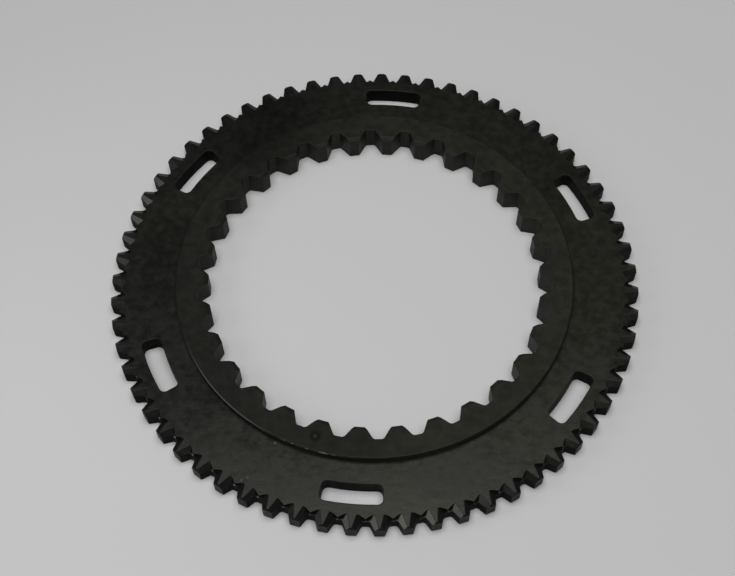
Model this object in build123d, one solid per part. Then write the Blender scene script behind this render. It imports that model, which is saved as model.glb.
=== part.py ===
from build123d import *
from math import asin, cos, pi, radians, sin, tan
import os

# Synchronizer ring: one steel ring with pointed dog teeth round its rim, spline teeth in its
# bore, a raised boss on one side and six curved slots through its flange.
# Millimetres. The origin is the centre of the flat resting face. +Z is the ring's axis and
# points to the side with the boss, which is also the side to which the dog teeth are pointed.

# Radial sizes, in a chain from the bore outward
spline_tip_radius = 60.35
spline_depth = 4.65
boss_wall = 7.3
slot_inset = 7.8
slot_width = 7.0
slot_rim = 5.45
dog_depth = 3.45

# Heights
flange_height = 6.8
boss_height = 3.2

# Dog teeth round the rim, each with a flat crest
dog_count = 63
dog_tip_width = 3.4
dog_root_width = 6.55
dog_root_corner = 0.4

# Pointing of the dog teeth: each tooth's upper end is milled to two sloping facets with a
# flat ridge between them that widens toward the flange, and each cut runs out in a
# round-cornered pocket in the flange face
point_slope = 32.0
ridge_width = 0.25
ridge_flare = 14.0
pocket_run_in = 1.75
pocket_end_width = 2.3
pocket_side_angle = 32.0
pocket_corner_radius = 2.2

# Spline teeth in the bore
spline_count = 30
spline_tip_width = 3.6
spline_root_width = 10.2
spline_root_corner = 0.45

# Curved slots, evenly spaced, the first one this many degrees from the shared tooth direction
slot_count = 6
slot_length = 21.05
slot_corner_radius = 2.0
slot_offset_angle = -0.5

# Chamfers of the rim, the boss and both mouths of the bore
rim_chamfer = 0.5
boss_chamfer = 0.45
mouth_width = 1.5
mouth_depth = 0.9
bore_chamfer = 0.35

# A corner takes at most this share of the flat beside it
corner_share = 0.8

# A spline tooth and a dog tooth share this direction
index_angle = 24.0

# Radii that follow from the chain
spline_root_radius = spline_tip_radius + spline_depth
boss_radius = spline_root_radius + boss_wall
slot_inner_radius = boss_radius + slot_inset
slot_outer_radius = slot_inner_radius + slot_width
dog_root_radius = slot_outer_radius + slot_rim
dog_tip_radius = dog_root_radius + dog_depth
total_height = flange_height + boss_height


def flange():
    """The flange before its teeth are cut, with a flat for each dog tooth's crest."""
    flats = RegularPolygon(
        dog_tip_radius, dog_count, major_radius=False, rotation=index_angle + 180 / dog_count
    )
    blank = extrude(flats, flange_height)
    return chamfer(blank.edges().filter_by(Axis.Z, reverse=True), rim_chamfer)


def boss():
    """The turned boss, as a solid disc from the resting face up."""
    section = Polyline(
        (0, 0),
        (boss_radius, 0),
        (boss_radius, total_height - boss_chamfer),
        (boss_radius - boss_chamfer, total_height),
        (0, total_height),
        close=True,
    )
    return revolve(Plane.XZ * make_face(section), Axis.Z)


def bore():
    """The turned bore at the spline teeth's tips, with its chamfered mouths."""
    section = Polyline(
        (0, 0),
        (spline_tip_radius + bore_chamfer, 0),
        (spline_tip_radius, bore_chamfer),
        (spline_tip_radius, total_height - mouth_depth),
        (spline_tip_radius + mouth_width, total_height),
        (0, total_height),
        close=True,
    )
    return revolve(Plane.XZ * make_face(section), Axis.Z)


def tooth_gap(count, root_radius, root_width, tip_radius, tip_width, root_corner):
    """Plan outline of the space between two neighbouring teeth, centred on +X.

    Its flanks are straight, and its two corners at the root are relieved.
    """

    def flank_point(radius, width):
        angle = pi / count - asin(width / 2 / radius)
        return Vector(radius * cos(angle), radius * sin(angle))

    root = flank_point(root_radius, root_width)
    tip = flank_point(tip_radius, tip_width)
    beyond = tip + (tip - root)
    outline = Polyline(
        (root.X, -root.Y),
        (root.X, root.Y),
        (beyond.X, beyond.Y),
        (beyond.X, -beyond.Y),
        close=True,
    )
    face = make_face(outline)
    corners = face.vertices().filter_by(lambda v: abs(v.X - root.X) < 1e-6)
    return chamfer(corners, min(root_corner, root.Y * corner_share))


def dog_gap():
    return tooth_gap(
        dog_count, dog_root_radius, dog_root_width, dog_tip_radius, dog_tip_width, dog_root_corner
    )


def spline_gap():
    return tooth_gap(
        spline_count, spline_root_radius, spline_root_width, spline_tip_radius, spline_tip_width,
        spline_root_corner,
    )


def sector(half_angle, reach):
    """Plan outline of a wedge about +X, its point on the axis."""
    corner_x = reach * cos(half_angle)
    corner_y = reach * sin(half_angle)
    return make_face(Polyline((0, 0), (corner_x, -corner_y), (corner_x, corner_y), close=True))


def slot():
    """Plan outline of one curved slot, centred on +X: its long sides are arcs about Z."""
    middle_radius = (slot_inner_radius + slot_outer_radius) / 2
    half_angle = slot_length / 2 / middle_radius
    band = Circle(slot_outer_radius) - Circle(slot_inner_radius)
    face = band & sector(half_angle, slot_outer_radius * 2)
    return fillet(face.vertices(), min(slot_corner_radius, slot_width / 2 * corner_share))


def pocket():
    """What pointing takes from one side of the dog tooth that is centred on +X.

    Its floor is the tooth's sloping facet, whose upper edge leads from the tip of the ridge
    into the flange face. Its walls are upright, with a rounded corner between its inboard end
    and its slanting side. It stops at the middle of the gap, where the next tooth's pocket
    begins.
    """
    end_x = dog_root_radius - pocket_run_in
    far_x = dog_tip_radius + dog_depth
    reach = far_x - end_x
    side_y = pocket_end_width + reach / tan(radians(pocket_side_angle))
    outline = Polyline(
        (end_x, 0),
        (end_x, pocket_end_width),
        (far_x, side_y),
        (far_x, 0),
        close=True,
    )
    face = make_face(outline)
    corner = face.vertices().sort_by(Axis.X)[:2].sort_by(Axis.Y)[-1]
    plan = fillet(corner, pocket_corner_radius) & sector(pi / dog_count, far_x * 2)
    above_facet = Polyline(
        (0, flange_height),
        (reach, flange_height - reach * tan(radians(point_slope))),
        (reach, total_height),
        (0, total_height),
        close=True,
    )
    facet_cut = extrude(Plane.YZ * make_face(above_facet), reach * 2, both=True)
    facet_place = Pos(dog_tip_radius, ridge_width / 2, 0) * Rot(0, 0, -ridge_flare)
    return extrude(plan, total_height) & (facet_place * facet_cut)


def pattern(shape, count, start_angle):
    """Copies of a shape, evenly spaced about Z."""
    return [Rot(0, 0, start_angle + 360 / count * i) * shape for i in range(count)]


def synchronizer_ring():
    dog_gaps = pattern(dog_gap(), dog_count, index_angle + 180 / dog_count)
    spline_gaps = pattern(spline_gap(), spline_count, index_angle + 180 / spline_count)
    slots = pattern(slot(), slot_count, index_angle + slot_offset_angle)
    cut_outs = Sketch() + dog_gaps + spline_gaps + slots
    ring = flange() + boss() - bore() - extrude(cut_outs, total_height)
    ring -= pattern(pocket(), dog_count, index_angle)
    ring -= pattern(mirror(pocket(), Plane.XZ), dog_count, index_angle)
    return ring


os.makedirs("parts", exist_ok=True)
export_step(synchronizer_ring(), "parts/synchronizer_ring.step")
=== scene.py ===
# %% [markdown]
# A synchronizer ring, dressed for its picture.
#
# The ring is one piece of hardened steel with a black oxide finish. Pointed dog teeth stand
# round its rim, spline teeth line its bore, a low boss rises beside the bore and six curved
# slots go through its flange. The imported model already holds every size. What is left for
# Blender is what a cutter, a barrel of abrasive and a hot blackening bath do to such a part:
# its edges are broken, its milled faces differ from its ground ones, and its black skin is
# uneven.

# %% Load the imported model
import bmesh
import bpy
from math import atan2, cos, hypot, pi, radians, sin
from mathutils import Matrix, Vector


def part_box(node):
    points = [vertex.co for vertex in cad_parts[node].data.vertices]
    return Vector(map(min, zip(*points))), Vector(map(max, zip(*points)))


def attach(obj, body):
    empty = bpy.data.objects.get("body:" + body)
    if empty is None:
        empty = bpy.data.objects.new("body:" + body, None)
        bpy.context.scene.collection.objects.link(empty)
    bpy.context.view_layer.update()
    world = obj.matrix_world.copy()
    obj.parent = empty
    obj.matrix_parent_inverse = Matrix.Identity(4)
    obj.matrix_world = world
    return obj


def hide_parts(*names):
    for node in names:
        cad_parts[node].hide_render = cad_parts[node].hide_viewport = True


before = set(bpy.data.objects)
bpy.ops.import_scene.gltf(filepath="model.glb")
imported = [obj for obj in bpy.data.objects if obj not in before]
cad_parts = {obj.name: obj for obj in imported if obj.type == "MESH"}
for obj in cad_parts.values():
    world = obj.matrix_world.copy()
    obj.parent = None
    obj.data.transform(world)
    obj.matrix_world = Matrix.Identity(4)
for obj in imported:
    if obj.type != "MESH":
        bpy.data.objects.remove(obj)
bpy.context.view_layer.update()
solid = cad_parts["synchronizer_ring"]
low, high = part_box("synchronizer_ring")
print("the ring is", [round(1000 * (b - a), 2) for a, b in zip(low, high)], "mm")

# %% [markdown]
# Everything below is in metres, with the ring lying flat on the floor at z = 0 and its boss
# up. A few radii and heights tell the ring's surfaces apart, so they come first. The height of
# the top face is read from the solid, and the others repeat or lie between the model's sizes.

# %% Name the places on the ring
MM = 0.001
top_height = high[2]
flange_height = 6.8 * MM
mouth_radius = 61.85 * MM
spline_root_radius = 65.0 * MM
boss_radius = 72.3 * MM
slot_inner_radius = 80.1 * MM
slot_outer_radius = 87.1 * MM
pocket_radius = 90.4 * MM
crest_radius = 95.7 * MM
wall_band = 0.5 * MM
tooth_pitch = 2 * pi / 63
tooth_direction = radians(24)
near = 0.05 * MM
print("top face at", round(top_height / MM, 2), "mm, flange face at", round(flange_height / MM, 2), "mm")


def radius_of(point):
    return hypot(point.x, point.y)


# %% [markdown]
# The solid's mesh is loose triangles. A copy of it is welded, and the triangles that lie in
# one plane are joined to whole faces, so that an edge of the mesh is an edge of the ring.
# `remove_doubles` and `dissolve_limited` do this in edit mode. The imported normals are
# cleared, because the new edges need normals of their own.

# %% Make the working copy
ring = bpy.data.objects.new("blackened_ring", solid.data.copy())
bpy.context.scene.collection.objects.link(ring)
ring.data.materials.clear()
bpy.ops.object.select_all(action="DESELECT")
ring.select_set(True)
bpy.context.view_layer.objects.active = ring
bpy.ops.mesh.customdata_custom_splitnormals_clear()
bpy.ops.object.mode_set(mode="EDIT")
bpy.ops.mesh.select_all(action="SELECT")
bpy.ops.mesh.remove_doubles(threshold=0.001 * MM)
bpy.ops.mesh.dissolve_limited(angle_limit=radians(0.8))
bpy.ops.object.mode_set(mode="OBJECT")
print("welded copy:", len(ring.data.polygons), "faces,", len(ring.data.edges), "edges")

# %% [markdown]
# Black oxide is a thin crystal skin that the bath grows out of the steel itself, so it hides
# nothing: it is nearly black where it is thick, and olive, brown or bluish where it is thin or
# where oil has dried. It is a satin surface, so it mirrors the room weakly and softly. The
# finish is built from noise at four sizes on Object coordinates: clouds a few centimetres wide
# and stains of a centimetre tint the colour, mottles of two or three millimetres change the
# gloss, and a fine grain breaks up the shine. The colour also drifts across the ring, from
# neutral black on its left to olive on its right. One patch at the far left is darkest: it is a
# painted dark reflection of the dim part of the room that the flange mirrors there.


# %% A helper that adds nodes
def add_node(tree, kind, settings=None, **inputs):
    """Add a node, set its own settings, then set or link its inputs by name."""
    node = tree.nodes.new(kind)
    for name, value in (settings or {}).items():
        setattr(node, name, value)
    for name, value in inputs.items():
        socket = node.inputs[int(name[1:])] if name[0] == "_" else node.inputs[name.replace("_", " ")]
        if isinstance(value, bpy.types.NodeSocket):
            tree.links.new(value, socket)
        else:
            socket.default_value = value
    return node


def noise(tree, coordinates, size, detail=3.0, roughness=0.55, distortion=0.0):
    """Noise whose blotches are about size metres wide."""
    return add_node(
        tree, "ShaderNodeTexNoise", Vector=coordinates, Scale=0.5 / size, Detail=detail,
        Roughness=roughness, Distortion=distortion,
    ).outputs["Fac"]


def spread(tree, value, low_in, high_in, low_out, high_out):
    """Stretch a value from one range to another, and stop at its ends."""
    return add_node(
        tree, "ShaderNodeMapRange", Value=value, From_Min=low_in, From_Max=high_in,
        To_Min=low_out, To_Max=high_out,
    ).outputs["Result"]


def mixed(tree, factor, colour_a, colour_b):
    """Blend two colours."""
    node = add_node(tree, "ShaderNodeMix", {"data_type": "RGBA"})
    for socket, value in ((node.inputs[0], factor), (node.inputs[6], colour_a), (node.inputs[7], colour_b)):
        if isinstance(value, bpy.types.NodeSocket):
            tree.links.new(value, socket)
        else:
            socket.default_value = value if isinstance(value, float) else (*value, 1.0)
    return node.outputs[2]


def near_spot(tree, place, centre, inner, outer):
    """1 within inner metres of a point on the ring, falling to 0 at outer metres."""
    away = add_node(
        tree, "ShaderNodeVectorMath", {"operation": "DISTANCE"}, _0=place, _1=[v * MM for v in centre]
    ).outputs["Value"]
    return spread(tree, away, inner, outer, 1.0, 0.0)


def combined(tree, operation, a, b):
    """Arithmetic on two values."""
    return add_node(tree, "ShaderNodeMath", {"operation": operation}, _0=a, _1=b).outputs[0]


# %% The blackened finish
# Painted dark reflection: the flange's far left is darkened where it mirrors the dim part of the room.
painted_dark_place = (-38, 66, 8)
painted_dark_colour = (0.0030, 0.0030, 0.0030)


def blackened(name, dark, olive, tint, gloss, grain, shine):
    """A satin black oxide skin: three colours, a range of roughness, bump and mirror strength."""
    material = bpy.data.materials.new(name)
    material.use_nodes = True
    tree = material.node_tree
    shader = tree.nodes["Principled BSDF"]
    place = add_node(tree, "ShaderNodeTexCoord").outputs["Object"]
    clouds = noise(tree, place, 24 * MM, detail=4.0)
    stains = noise(tree, place, 7 * MM, detail=5.0, distortion=0.6)
    mottle = noise(tree, place, 1.5 * MM, detail=4.0, roughness=0.6)
    crystals = noise(tree, place, 0.35 * MM, detail=2.0)
    across = add_node(tree, "ShaderNodeSeparateXYZ", Vector=place).outputs["X"]
    drift = combined(tree, "ADD", spread(tree, across, -0.06, 0.06, -0.10, 0.10), clouds)
    base = mixed(tree, spread(tree, drift, 0.38, 0.62, 0.0, 1.0), dark, olive)
    base = mixed(tree, spread(tree, stains, 0.38, 0.78, 0.0, 0.85), base, tint)
    # Darken the colour round that far-left place, as a painted dark reflection.
    painted_dark_patch = near_spot(tree, place, painted_dark_place, 6 * MM, 30 * MM)
    base = mixed(tree, combined(tree, "MULTIPLY", painted_dark_patch, 0.45), base, painted_dark_colour)
    speckle = spread(tree, mottle, 0.30, 0.70, 0.74, 1.30)
    shaded = add_node(tree, "ShaderNodeVectorMath", {"operation": "SCALE"}, _0=base, Scale=speckle)
    tree.links.new(shaded.outputs["Vector"], shader.inputs["Base Color"])
    mottled = combined(tree, "ADD", mottle, stains)
    tree.links.new(spread(tree, mottled, 0.78, 1.22, *gloss), shader.inputs["Roughness"])
    shader.inputs["Specular IOR Level"].default_value = shine
    shader.inputs["Specular Tint"].default_value = (0.98, 1.0, 0.88, 1)
    skin = add_node(tree, "ShaderNodeBump", Height=mottle, Strength=grain, Distance=0.08 * MM)
    fine = add_node(
        tree, "ShaderNodeBump", Height=crystals, Strength=grain, Distance=0.012 * MM,
        Normal=skin.outputs["Normal"],
    )
    tree.links.new(fine.outputs["Normal"], shader.inputs["Normal"])
    return material


# %% [markdown]
# The same bath leaves a different black on each kind of cut. The ground faces are satin and
# olive. The pointing cutter left the facets of the dog teeth smoother, so they mirror more. The
# milled walls of the slots and of the dog teeth's gaps are rough and dull, and their colour is
# darkened further with painted shade, for the shadow in those gaps and slots and the shaded
# table that they mirror. The broached walls of the spline teeth and the turned crests of the dog
# teeth lie between. The boss was ground apart from the flange and is duller than it. Along the
# edges the skin is rubbed thin, and grey steel begins to show.

# %% Mix the finishes
ground = blackened(
    "blackened_steel", (0.0060, 0.0060, 0.0057), (0.0130, 0.0134, 0.0096), (0.0086, 0.0086, 0.0079),
    (0.20, 0.34), 0.6, 0.165,
)
boss_top = blackened(
    "blackened_boss", (0.0108, 0.0107, 0.0096), (0.0186, 0.0184, 0.0143), (0.0136, 0.0133, 0.0114),
    (0.36, 0.50), 0.7, 0.035,
)
worn_edge = blackened(
    "worn_black_edge", (0.0050, 0.0050, 0.0044), (0.0080, 0.0080, 0.0064), (0.014, 0.014, 0.013),
    (0.32, 0.46), 0.2, 0.12,
)
milled = blackened(
    "milled_black_facet", (0.0034, 0.0033, 0.0036), (0.0046, 0.0044, 0.0048), (0.0050, 0.0047, 0.0058),
    (0.20, 0.28), 0.3, 0.42,
)
# The milled walls are rough, and their base colour is darkened further as painted shade for the shadow in
# the gaps and slots.
milled_wall_painted_shade = blackened(
    "milled_black_wall_painted_shade", (0.0018, 0.0018, 0.0016), (0.0030, 0.0030, 0.0024), (0.0024, 0.0024, 0.0024),
    (0.50, 0.65), 0.8, 0.04,
)
broached = blackened(
    "broached_black_wall", (0.0030, 0.0029, 0.0025), (0.0052, 0.0050, 0.0040), (0.0040, 0.0040, 0.0036),
    (0.45, 0.60), 0.8, 0.21,
)
crest = blackened(
    "turned_black_crest", (0.0040, 0.0040, 0.0035), (0.0060, 0.0060, 0.0046), (0.0050, 0.0050, 0.0050),
    (0.40, 0.55), 0.6, 0.10,
)
# The boss's edge gets its own copy of the worn edge, which carries a painted highlight.
boss_edge_wear_and_glint = worn_edge.copy()
boss_edge_wear_and_glint.name = "boss_edge_wear_and_painted_glint"
finishes = [ground, worn_edge, milled, milled_wall_painted_shade, crest, boss_top, boss_edge_wear_and_glint, broached]
for finish in finishes:
    ring.data.materials.append(finish)
print("finishes:", [finish.name for finish in finishes])

# %% [markdown]
# A used ring also has a few marks of its own, and two more marks are painted light. A painted
# highlight runs along the boss's edge, even along its left part and broken into patches nearer,
# for the glint of that worn, rounded edge. There are three pale nicks in the flange beside it,
# and the boss has one small round dent, such as a hardness test leaves, whose shading is painted:
# a pale painted highlight in its middle and a dark ring of painted shade round its rim. Each mark
# is a spot about a point of the ring, mixed over the colour that the finish already has.


# %% Add the marks
def add_spot(material, colour, factor_of):
    """Mix a colour over the finish's own, by a factor made from the place on the ring."""
    tree = material.node_tree
    shader = tree.nodes["Principled BSDF"]
    place = next(n for n in tree.nodes if n.bl_idname == "ShaderNodeTexCoord").outputs["Object"]
    under = shader.inputs["Base Color"].links[0].from_socket
    tree.links.new(mixed(tree, factor_of(tree, place), under, colour), shader.inputs["Base Color"])


def add_round_mark(material, colour, centre, inner, outer):
    """Mix a colour over a round spot, full within inner and gone at outer millimetres."""
    add_spot(
        material, colour, lambda tree, place: near_spot(tree, place, centre, inner * MM, outer * MM)
    )


# Painted highlight: pale grey along the boss's edge stands for the glint of its worn, rounded edge.
near_glint_place = (-22, -68.8, 9.8)
left_glint_place = (-53.7, -48.4, 9.8)


def broken_painted_glint(tree, place):
    zone = near_spot(tree, place, near_glint_place, 5 * MM, 14 * MM)
    patches = spread(tree, noise(tree, place, 1.3 * MM, detail=2.0), 0.44, 0.58, 0.12, 1.0)
    return combined(tree, "MULTIPLY", zone, patches)


def even_painted_glint(tree, place):
    return near_spot(tree, place, left_glint_place, 11 * MM, 25 * MM)


broken_glint_grey = (0.11, 0.11, 0.105)
even_glint_grey = (0.075, 0.073, 0.078)
pale_steel = (0.050, 0.051, 0.047)
# Paint the highlight along the boss's edge, broken into patches nearer and even on its left.
add_spot(boss_edge_wear_and_glint, broken_glint_grey, broken_painted_glint)
add_spot(boss_edge_wear_and_glint, even_glint_grey, even_painted_glint)
add_round_mark(ground, pale_steel, (-35.3, -64.2, 6.8), 0.1, 0.65)
add_round_mark(ground, pale_steel, (-44.3, -76.5, 6.8), 0.1, 0.585)
add_round_mark(ground, pale_steel, (-46.3, -77.4, 6.8), 0.1, 0.52)

# The dent has no shape of its own, so its shading is painted: painted shade round its rim and a painted
# highlight in its middle.
dent = (-21.5, -63.4, 10)
dent_painted_shade = (0.0040, 0.0038, 0.0030)
dent_painted_highlight = (0.0190, 0.0188, 0.0165)
add_round_mark(boss_top, dent_painted_shade, dent, 1.3, 2.3)
add_round_mark(boss_top, dent_painted_highlight, dent, 0.3, 1.1)
print("marks on:", boss_edge_wear_and_glint.name, ground.name, boss_top.name)

# %% [markdown]
# Each face knows where it lies and which way it points, and that is enough to choose its
# finish. An upright face is a crest at the rim, a broached wall in the bore and a milled wall
# with painted shade elsewhere, apart from the boss's turned wall, which is as satin as the
# flange. A sloping face is a milled facet beyond the pocket radius, the worn edge round the boss
# with its painted highlight, or the mouth of the bore, which is as dull as the boss's top. All
# that is left is ground.

# %% Give each face its finish
upright_limit = 0.3
level_limit = 0.95
facet_floor = 4 * MM


def finish_of(face):
    """The finish of a face, by its place and the way that it faces."""
    radius = radius_of(face.center)
    upright = abs(face.normal.z) < upright_limit
    sloping = upright_limit < face.normal.z < level_limit
    if upright and radius > crest_radius:
        return crest
    if upright and radius < spline_root_radius + wall_band:
        return broached
    if upright and abs(radius - boss_radius) > wall_band:
        return milled_wall_painted_shade
    if sloping and radius > pocket_radius and face.center.z > facet_floor:
        return milled
    if sloping and radius > spline_root_radius:
        return boss_edge_wear_and_glint
    if sloping or face.center.z > top_height - near:
        return boss_top
    return ground


count = [0] * len(finishes)
for face in ring.data.polygons:
    face.material_index = finishes.index(finish_of(face))
    count[face.material_index] += 1
print("faces of each finish:", count)

# %% [markdown]
# The cutter that pointed the dog teeth had a rounded corner, so it left a small fillet at the
# foot of each pocket's upright wall, as rough as the wall itself, which softens that corner. It
# is the only inner corner that shows, and a bevel of the foot edge makes it. The wall is too
# low for a fillet near the ridge, and near the gap between two teeth there is no floor left,
# so the long foot edge is first divided in the middle and only its inner half is rounded.

# %% Round the feet of the pockets
fillet_size = 0.5 * MM
fillet_start = 2.6 * MM
fillet_end = 3.7 * MM
steep_corner = radians(60)
foot_low = 4.5 * MM
foot_inner = 90.5 * MM
foot_outer = 92.5 * MM
long_foot = 1.5 * MM


def beside_tooth(point):
    """How far a point is from the middle of the nearest dog tooth, along the rim."""
    turn = (atan2(point.y, point.x) - tooth_direction) % tooth_pitch
    return min(turn, tooth_pitch - turn) * radius_of(point)


def is_pocket_foot(edge):
    """An inner corner between a pocket's wall and its floor."""
    a, b = edge.verts[0].co, edge.verts[1].co
    middle = (a + b) / 2
    inner = edge.is_manifold and not edge.is_convex and edge.calc_face_angle(0) > steep_corner
    slanted = abs(a.z - b.z) < 0.8 * edge.calc_length()
    placed = middle.z > foot_low and foot_inner < radius_of(middle) < foot_outer
    return inner and slanted and placed


def select_edges(test):
    """Select the edges that pass a test, and nothing else."""
    bpy.ops.mesh.select_all(action="DESELECT")
    shell = bmesh.from_edit_mesh(ring.data)
    found = [edge for edge in shell.edges if test(edge)]
    for edge in found:
        edge.select_set(True)
    bmesh.update_edit_mesh(ring.data)
    return len(found)


def is_fillet_edge(edge):
    middle = (edge.verts[0].co + edge.verts[1].co) / 2
    return is_pocket_foot(edge) and fillet_start < beside_tooth(middle) < fillet_end


bpy.ops.object.mode_set(mode="EDIT")
bpy.ops.mesh.select_mode(type="EDGE")
long_feet = select_edges(lambda edge: is_pocket_foot(edge) and edge.calc_length() > long_foot)
bpy.ops.mesh.subdivide(number_cuts=1, ngon=True)
short_feet = select_edges(is_fillet_edge)
bpy.ops.mesh.bevel(
    offset_type="OFFSET", offset=fillet_size, segments=4, affect="EDGES", clamp_overlap=False,
    material=finishes.index(milled_wall_painted_shade),
)
bpy.ops.object.mode_set(mode="OBJECT")
print("foot edges divided:", long_feet, "rounded:", short_feet)

# %% [markdown]
# On the real ring no outer edge is a perfect corner either. The rims of the slots and of the
# spline teeth were broken on purpose, by about 0.3 mm. All other edges were only rounded a
# little in the tumbling barrel. One Bevel modifier makes both, because each edge carries its
# own bevel weight: the width of the modifier is the wide break, and a weight below 1 narrows
# it. Inner corners can't be tumbled, so they get no weight.

# %% Weigh the edges
wide_break = 0.3 * MM
tumbled_weight = 0.4
sharp_angle = radians(20)
shell = bmesh.new()
shell.from_mesh(ring.data)
weights = shell.edges.layers.float.new("bevel_weight_edge")
counts = {"broken": 0, "tumbled": 0, "left": 0}
for edge in shell.edges:
    if not edge.is_manifold or not edge.is_convex or edge.calc_face_angle(0) < sharp_angle:
        counts["left"] += 1
        continue
    a, b = edge.verts[0].co, edge.verts[1].co
    level = abs(a.z - b.z) < near
    middle = radius_of((a + b) / 2)
    on_slot = level and slot_inner_radius - near < middle < slot_outer_radius + near
    on_spline = level and mouth_radius + near < middle < spline_root_radius + near
    edge[weights] = 1.0 if on_slot or on_spline else tumbled_weight
    counts["broken" if on_slot or on_spline else "tumbled"] += 1
shell.to_mesh(ring.data)
shell.free()
print("edges:", counts)

# %% Round them
rounding = ring.modifiers.new("Broken edges", "BEVEL")
rounding.limit_method = "WEIGHT"
rounding.width = wide_break
rounding.segments = 3
rounding.use_clamp_overlap = False
rounding.miter_outer = "MITER_SHARP"
rounding.material = finishes.index(worn_edge)
bpy.ops.object.modifier_apply(modifier=rounding.name)
print("rounded ring:", len(ring.data.polygons), "faces")

# %% [markdown]
# Smooth shading hides the segments of the rounded edges, which turn by 30 degrees at most.
# Weighted normals then keep the large flat faces flat up to their rounded edges.

# %% Smooth the shading
bpy.ops.object.shade_smooth_by_angle(angle=radians(35))
evened = ring.modifiers.new("Even normals", "WEIGHTED_NORMAL")
evened.keep_sharp = True
evened.weight = 50
bpy.ops.object.modifier_apply(modifier=evened.name)

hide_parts("synchronizer_ring")
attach(ring, "root")

# %% [markdown]
# The ring lies on a plain pale table.

# %% The table
floor_size = 12.0
bpy.ops.mesh.primitive_plane_add(size=floor_size, location=(0, 0, 0))
table = bpy.context.active_object
table.name = "pale_table"
paper = bpy.data.materials.new("pale_table")
paper.use_nodes = True
paper_shader = paper.node_tree.nodes["Principled BSDF"]
paper_shader.inputs["Base Color"].default_value = (0.50, 0.50, 0.51, 1)
paper_shader.inputs["Roughness"].default_value = 0.9
paper_shader.inputs["Specular IOR Level"].default_value = 0.1
table.data.materials.append(paper)
print("table", floor_size, "m")

# %% [markdown]
# A dark satin part is lit by what it mirrors, so the lamps are placed by the picture's bright
# and dark facets. A soft box overhead lights the table and the near side of the flange. A
# small soft lamp stands low and close on the left: the left facets of the near teeth mirror
# it, and those of the far teeth look past it. A honeycomb grid before it keeps its light off
# the far side, which is what its spread angle does here. The rest of the room is dim. The
# small lamp would get in the way of a camera on that side, so cameras don't see the lamps.


# %% The lamps
def soft_lamp(name, place, aim, size, power, colour, spread_angle):
    """A square lamp at that place, facing the aim, with its light held in a cone."""
    data = bpy.data.lights.new(name, "AREA")
    data.shape = "SQUARE"
    data.size = size
    data.energy = power
    data.color = colour
    data.spread = radians(spread_angle)
    lamp = bpy.data.objects.new(name, data)
    lamp.location = place
    lamp.rotation_euler = (Vector(place) - Vector(aim)).to_track_quat("Z", "Y").to_euler()
    lamp.visible_camera = False
    bpy.context.scene.collection.objects.link(lamp)
    return lamp


soft_lamp(
    "left_lamp", place=(-0.36, -0.085, 0.25), aim=(0.01, -0.1, 0), size=0.22, power=0.105,
    colour=(0.97, 0.98, 1.0), spread_angle=90,
)
soft_lamp(
    "overhead", place=(0, -0.08, 1.25), aim=(0, 0, 0), size=0.92, power=15.6,
    colour=(1.0, 0.99, 0.97), spread_angle=180,
)
world = bpy.data.worlds.new("dim_room")
bpy.context.scene.world = world
world.use_nodes = True
world.node_tree.nodes["Background"].inputs["Color"].default_value = (0.08, 0.08, 0.082, 1)

# %% [markdown]
# The camera looks down at the ring at about 60 degrees, from a little under half a metre. Its
# place follows from where the ring's axis meets the flange face in the picture, its distance
# and its three directions.

# %% The camera
elevation = radians(59.81)
roll = radians(1.374)
distance = 0.46905
focal_pixels = 1284.07
picture_width = 735
picture_height = 576
axis_pixel = (374.216, 278.044)

right = Vector((cos(roll), -sin(roll) * sin(elevation), -sin(roll) * cos(elevation)))
up = Vector((sin(roll), cos(roll) * sin(elevation), cos(roll) * cos(elevation)))
forward = Vector((0, cos(elevation), -sin(elevation)))
aside = (axis_pixel[0] - picture_width / 2) / focal_pixels * distance
above = (picture_height / 2 - axis_pixel[1]) / focal_pixels * distance
eye = Vector((0, 0, flange_height)) - right * aside - up * above - forward * distance

camera_data = bpy.data.cameras.new("camera")
camera_data.sensor_width = 36
camera_data.lens = focal_pixels / picture_width * camera_data.sensor_width
camera_data.clip_start = 0.01
camera = bpy.data.objects.new("camera", camera_data)
turn = Matrix((right, up, -forward)).transposed().to_4x4()
camera.matrix_world = Matrix.Translation(eye) @ turn
bpy.context.scene.collection.objects.link(camera)
bpy.context.scene.camera = camera
bpy.context.scene.view_settings.view_transform = "Standard"
print("camera at", [round(v, 4) for v in eye], "lens", round(camera_data.lens, 2))
